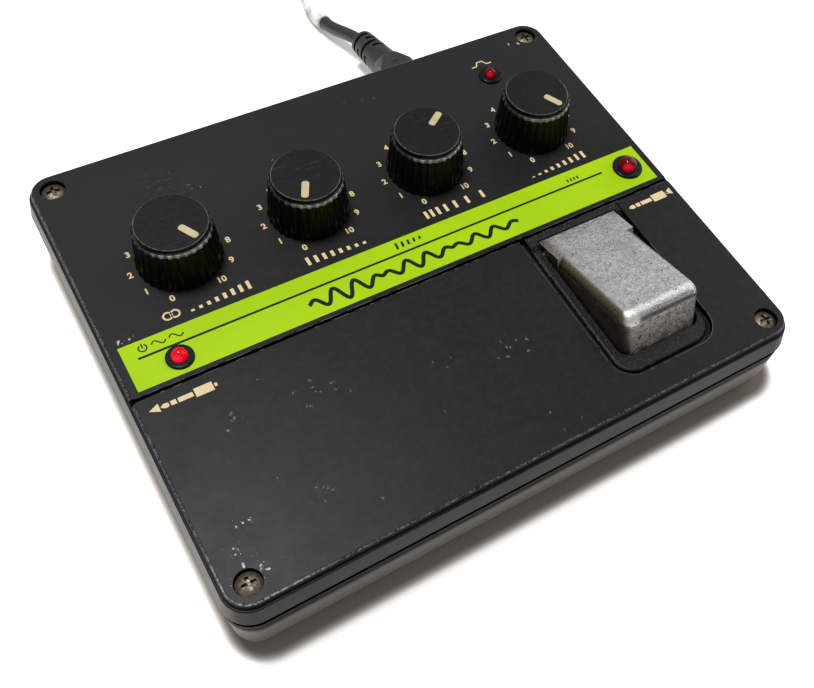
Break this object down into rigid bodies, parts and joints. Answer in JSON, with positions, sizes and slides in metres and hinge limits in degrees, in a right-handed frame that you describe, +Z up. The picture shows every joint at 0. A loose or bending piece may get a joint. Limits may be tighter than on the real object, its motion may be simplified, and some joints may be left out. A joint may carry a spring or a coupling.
{
  "type": "delay pedal",
  "caption": "Flat two-part cast pedal with a sloping foot treadle, a row of fluted dials, indicator lamps, side jacks and a coiled mains cord.",
  "frame": {"origin": "on the surface that the rubber feet stand on, under the middle of the case", "axes": "+X to the input side, +Y to the rear where the mains cord leaves, +Z up"},
  "size_m": [0.2263, 0.3181, 0.0488],
  "materials": {
    "case_paint": "satin black paint on a casting, worn at the edges",
    "cast_treadle": "bare sand-textured casting",
    "bezel_paint": "coarse black paint",
    "plated_screw": "tarnished plating",
    "steel_screw": "zinc plated",
    "foot_rubber": "matte",
    "steel_pin": "ground",
    "spring_steel": "drawn wire",
    "steel_sheet": "zinc plated",
    "switch_shell": "moulded",
    "switch_button": "moulded",
    "plated_nut": "nickel plated",
    "dial_plastic": "gloss black, shoulder worn bright",
    "pointer_plastic": "aged cream",
    "shaft_alloy": "turned",
    "lit_lens": "clear red, lit",
    "dark_lens": "clear red, unlit",
    "lamp_bezel": "black",
    "brass_post": "turned",
    "brass_pin": "plated",
    "circuit_board": "lacquered",
    "chip_resin": "moulded",
    "capacitor_sleeve": "shrunk sleeve",
    "trimmer_plastic": "moulded",
    "core_iron": "varnished laminations",
    "winding_tape": "yellow tape",
    "jack_plastic": "moulded",
    "cord_rubber": "smooth black jacket",
    "label_paper": "white paper",
    "moulded_plug": "moulded black",
    "tie_plastic": "smooth"
  },
  "bodies": {
    "case": {"amplifier_chips": "chip_resin", "board_posts": "brass_post", "board_screws": "steel_screw", "case_screws": "plated_screw", "cord_coil": "cord_rubber", "cord_connector": "moulded_plug", "cord_label": "label_paper", "cord_tail": "cord_rubber", "cord_tie": "tie_plastic", "delay_dial_control": "steel_sheet", "delay_line_chips": "chip_resin", "dial_nuts": "plated_nut", "electrolytic_capacitors": "capacitor_sleeve", "foot_screws": "steel_screw", "foot_switch": "switch_shell", "inlet_pins": "brass_pin", "input_jack": "jack_plastic", "level_dial_control": "steel_sheet", "lower_case": "case_paint", "main_board": "circuit_board", "mains_plug": "moulded_plug", "mains_plug_blades": "brass_pin", "mix_dial_control": "steel_sheet", "output_jack": "jack_plastic", "peak_lamp": "dark_lens", "peak_lamp_bezel": "lamp_bezel", "power_cord": "cord_rubber", "power_inlet": "jack_plastic", "power_lamp": "lit_lens", "power_lamp_bezel": "lamp_bezel", "repeat_dial_control": "steel_sheet", "rubber_feet": "foot_rubber", "status_lamp": "dark_lens", "status_lamp_bezel": "lamp_bezel", "switch_bracket": "steel_sheet", "switch_nut": "plated_nut", "transformer_core": "core_iron", "transformer_winding": "winding_tape", "treadle_bezel": "bezel_paint", "treadle_hinge_pin": "steel_pin", "treadle_spring": "spring_steel", "trimmers": "trimmer_plastic", "upper_case": "case_paint"},
    "treadle": {"treadle": "cast_treadle"},
    "switch_plunger": {"switch_plunger": "switch_button"},
    "mix_dial": {"mix_dial": "dial_plastic", "mix_dial_pointer": "pointer_plastic", "mix_dial_shaft": "shaft_alloy"},
    "repeat_dial": {"repeat_dial": "dial_plastic", "repeat_dial_pointer": "pointer_plastic", "repeat_dial_shaft": "shaft_alloy"},
    "delay_dial": {"delay_dial": "dial_plastic", "delay_dial_pointer": "pointer_plastic", "delay_dial_shaft": "shaft_alloy"},
    "level_dial": {"level_dial": "dial_plastic", "level_dial_pointer": "pointer_plastic", "level_dial_shaft": "shaft_alloy"}
  },
  "joints": [
    {"name": "treadle_hinge", "type": "hinge", "parent": "case", "child": "treadle", "pos_m": [0.05265, -0.0162, 0.0276], "axis": [1, 0, 0], "range_deg": [0, 5], "stiffness_Nm_per_rad": 1.2, "springref_deg": -5.73, "deforming": ["treadle_spring"]},
    {"name": "switch_travel", "type": "slide", "parent": "case", "child": "switch_plunger", "axis": [0, 0, -1], "range_m": [0, 0.003]},
    {"name": "mix_dial_turn", "type": "hinge", "parent": "case", "child": "mix_dial", "pos_m": [-0.06243, 0.0304, 0.04], "axis": [0, 0, 1], "range_deg": [0, 300]},
    {"name": "repeat_dial_turn", "type": "hinge", "parent": "case", "child": "repeat_dial", "pos_m": [-0.02081, 0.0304, 0.04], "axis": [0, 0, 1], "range_deg": [-300, 0]},
    {"name": "delay_dial_turn", "type": "hinge", "parent": "case", "child": "delay_dial", "pos_m": [0.02081, 0.0304, 0.04], "axis": [0, 0, 1], "range_deg": [-96, 204]},
    {"name": "level_dial_turn", "type": "hinge", "parent": "case", "child": "level_dial", "pos_m": [0.06243, 0.0304, 0.04], "axis": [0, 0, 1], "range_deg": [0, 300]}
  ],
  "couplings": [
    {"joint": "switch_travel", "follows": "treadle_hinge", "m_per_rad": 0.0338}
  ]
}
